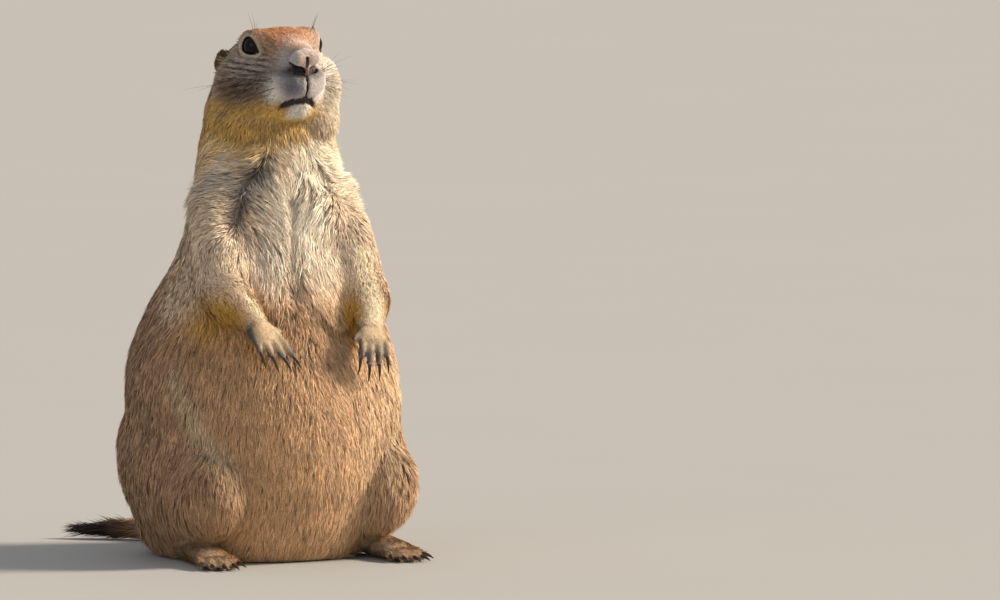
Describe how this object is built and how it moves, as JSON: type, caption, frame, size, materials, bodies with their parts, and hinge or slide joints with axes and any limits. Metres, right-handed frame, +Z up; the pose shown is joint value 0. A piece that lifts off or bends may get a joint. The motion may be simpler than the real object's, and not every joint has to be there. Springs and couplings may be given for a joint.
{
  "type": "prairie dog",
  "caption": "Life-size still model of a black-tailed prairie dog sitting upright on its haunches, forepaws held over the belly, head raised and alert.",
  "frame": {"origin": "middle of the underside of the model's box, where the rump, hind feet and tail rest", "axes": "+Z up; the animal faces -Y; +X towards its own left side"},
  "size_m": [0.1558, 0.2138, 0.287],
  "materials": {
    "body_coat": "short dense fur, grizzled grey-brown back, pinkish tan belly and cream chest",
    "head_coat": "very short fur, rusty crown, grey-brown cheeks, whitish muzzle and chin",
    "neck_coat": "short fur, yellow-buff throat and grey-brown nape",
    "paw_coat": "very short grey-buff fur with dark bare pads",
    "tail_coat": "short brush of longer hair, pinkish brown at the root and black at the tip",
    "nose_skin": "bare, slightly moist dark skin",
    "eye": "glossy, near black",
    "claw": "horn, dark brown to black, polished"
  },
  "bodies": {
    "root": {"head": "head_coat", "neck": "neck_coat", "torso": "body_coat", "tail": "tail_coat", "nose": "nose_skin", "eye_right": "eye", "ear_right": "head_coat", "upper_arm_right": "body_coat", "forearm_right": "body_coat", "hand_right": "paw_coat", "thigh_right": "body_coat", "foot_right": "paw_coat", "claw_front_right_1": "claw", "claw_front_right_2": "claw", "claw_front_right_3": "claw", "claw_front_right_4": "claw", "claw_hind_right_1": "claw", "claw_hind_right_2": "claw", "claw_hind_right_3": "claw", "claw_hind_right_4": "claw", "claw_hind_right_5": "claw", "eye_left": "eye", "ear_left": "head_coat", "upper_arm_left": "body_coat", "forearm_left": "body_coat", "hand_left": "paw_coat", "thigh_left": "body_coat", "foot_left": "paw_coat", "claw_front_left_1": "claw", "claw_front_left_2": "claw", "claw_front_left_3": "claw", "claw_front_left_4": "claw", "claw_hind_left_1": "claw", "claw_hind_left_2": "claw", "claw_hind_left_3": "claw", "claw_hind_left_4": "claw", "claw_hind_left_5": "claw"}
  },
  "joints": []
}
